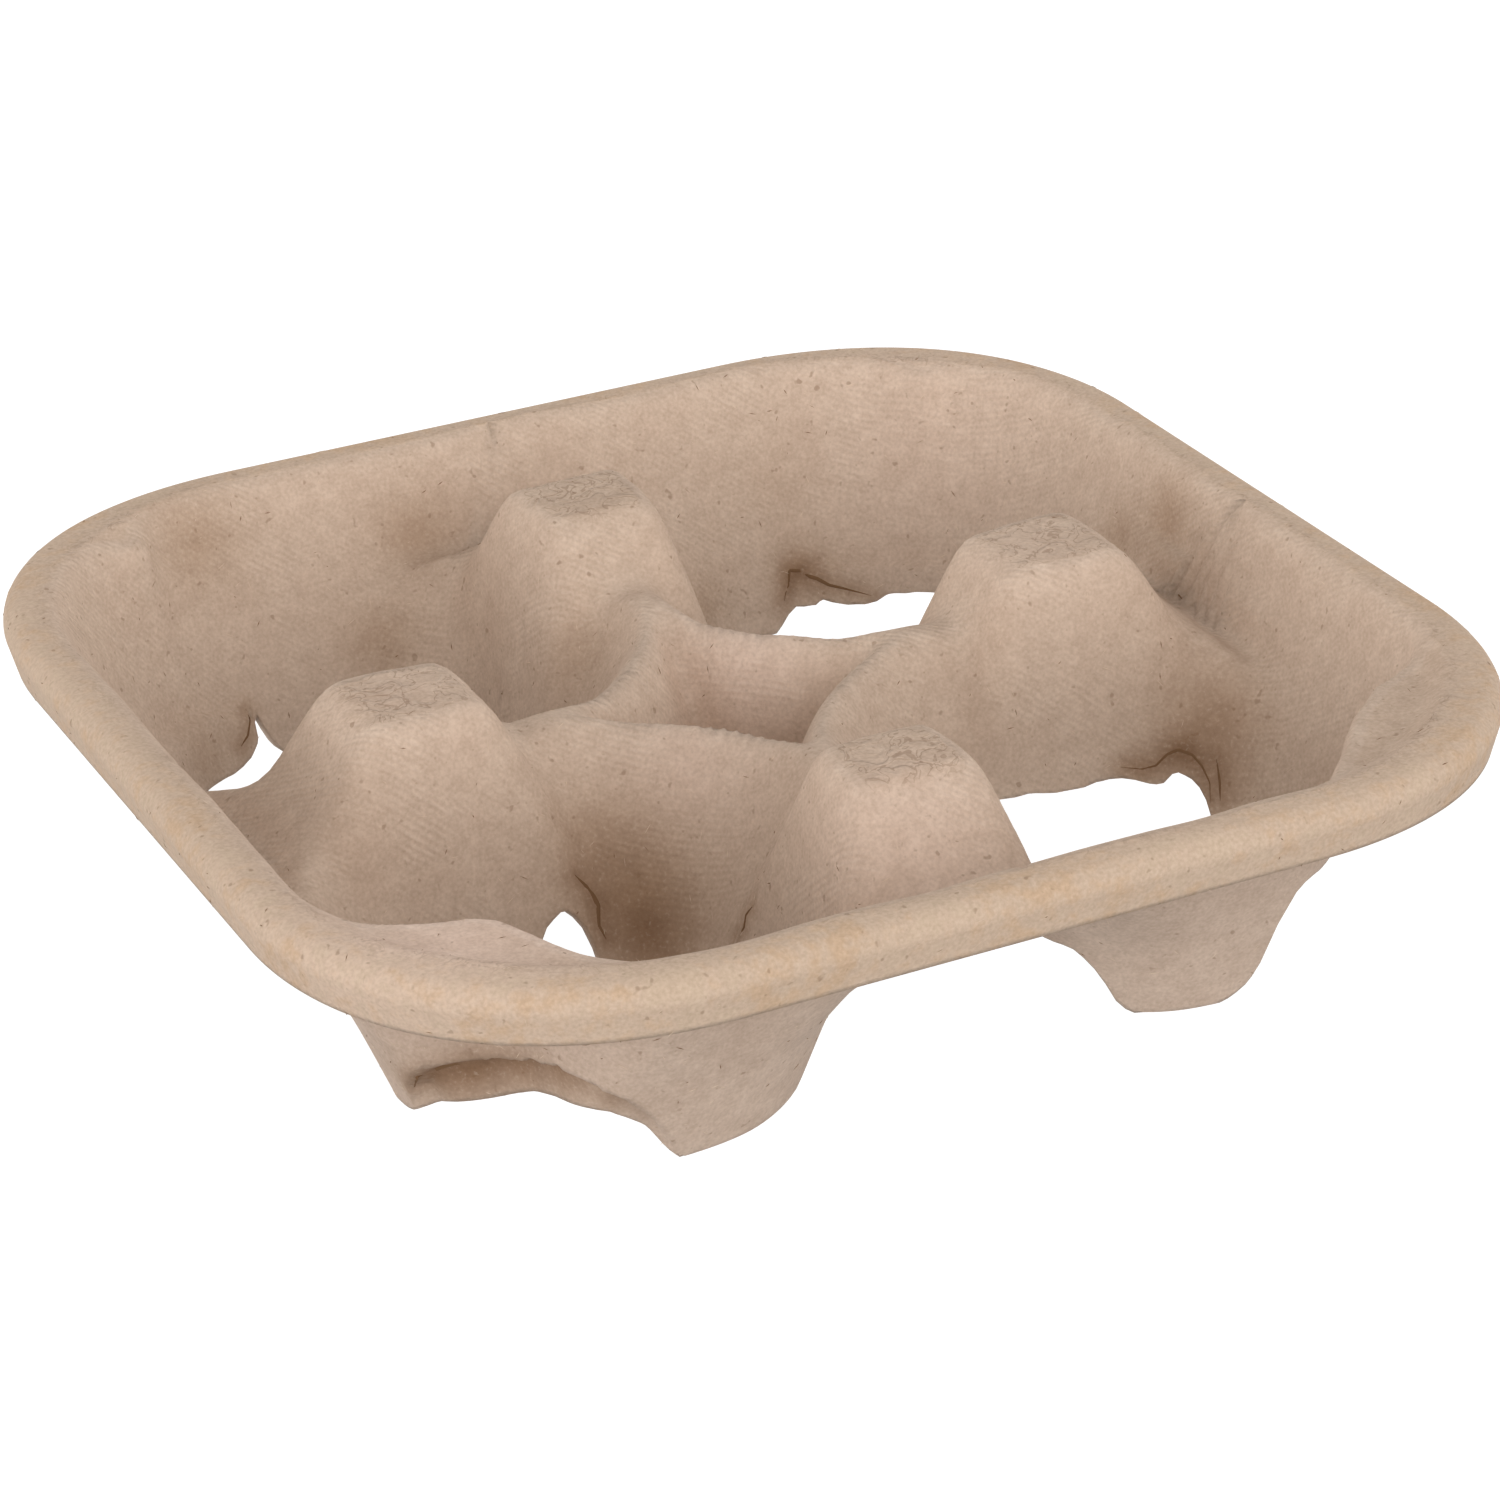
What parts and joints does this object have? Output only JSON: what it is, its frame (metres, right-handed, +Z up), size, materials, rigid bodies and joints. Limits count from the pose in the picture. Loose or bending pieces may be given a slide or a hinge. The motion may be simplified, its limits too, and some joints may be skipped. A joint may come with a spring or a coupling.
{
  "type": "cup carrier tray",
  "caption": "Square cup carrier tray of moulded pulp: open conical pockets, posts between them, a closed centre pit and a rolled rim.",
  "frame": {"origin": "on the floor, under the middle of the tray", "axes": "+Z up, the way the cups are put in; +X and +Y run along the midlines, each through two of the posts"},
  "size_m": [0.215, 0.215, 0.0473],
  "materials": {
    "moulded_pulp": "matte, fibrous"
  },
  "bodies": {
    "root": {"tray": "moulded_pulp"}
  },
  "joints": []
}
